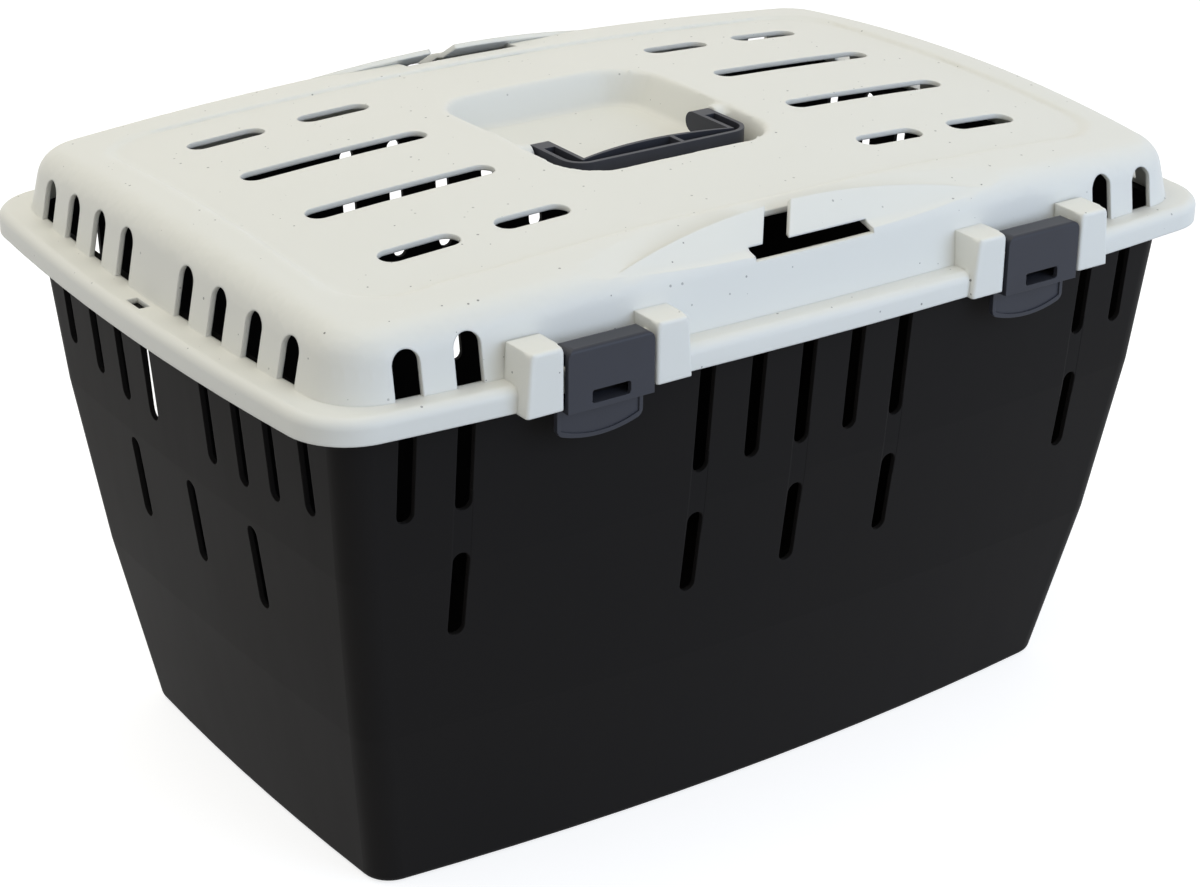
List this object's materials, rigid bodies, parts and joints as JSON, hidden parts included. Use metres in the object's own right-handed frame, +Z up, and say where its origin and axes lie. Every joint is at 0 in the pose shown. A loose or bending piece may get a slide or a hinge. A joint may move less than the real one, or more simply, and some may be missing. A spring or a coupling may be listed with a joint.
{
  "type": "cat carrier",
  "caption": "Hard cat carrier: tapered slotted tub, hinged slotted lid held by front clips, folding handle in a roof pocket, and belt guides for a car seat belt.",
  "frame": {"origin": "middle of the underside of the tub, on the surface the carrier stands on", "axes": "+Z up, +X along the length to the right as seen from the front, -Y to the front where the two latches are"},
  "size_m": [0.4998, 0.3402, 0.2911],
  "materials": {
    "tub_plastic": "satin moulded polypropylene, near black",
    "lid_plastic": "satin moulded polypropylene, warm off-white with sparse dark specks",
    "fitting_plastic": "satin moulded plastic, anthracite"
  },
  "bodies": {
    "tub": {"tub": "tub_plastic"},
    "lid": {"lid": "lid_plastic", "hinge_clip_left": "fitting_plastic", "hinge_clip_right": "fitting_plastic"},
    "handle": {"handle": "fitting_plastic"},
    "latch_left": {"latch_left": "fitting_plastic"},
    "latch_right": {"latch_right": "fitting_plastic"}
  },
  "joints": [
    {"name": "lid_hinge", "type": "hinge", "parent": "tub", "child": "lid", "pos_m": [0, 0.1638, 0.2332], "axis": [-1, 0, 0], "range_deg": [0, 100]},
    {"name": "handle_fold", "type": "hinge", "parent": "lid", "child": "handle", "pos_m": [0, -0.0095, 0.2835], "axis": [-1, 0, 0], "range_deg": [0, 90]},
    {"name": "latch_left_pivot", "type": "hinge", "parent": "lid", "child": "latch_left", "pos_m": [-0.1175, -0.1615, 0.2595], "axis": [-1, 0, 0], "range_deg": [0, 100]},
    {"name": "latch_right_pivot", "type": "hinge", "parent": "lid", "child": "latch_right", "pos_m": [0.1175, -0.1615, 0.2595], "axis": [-1, 0, 0], "range_deg": [0, 100]}
  ]
}
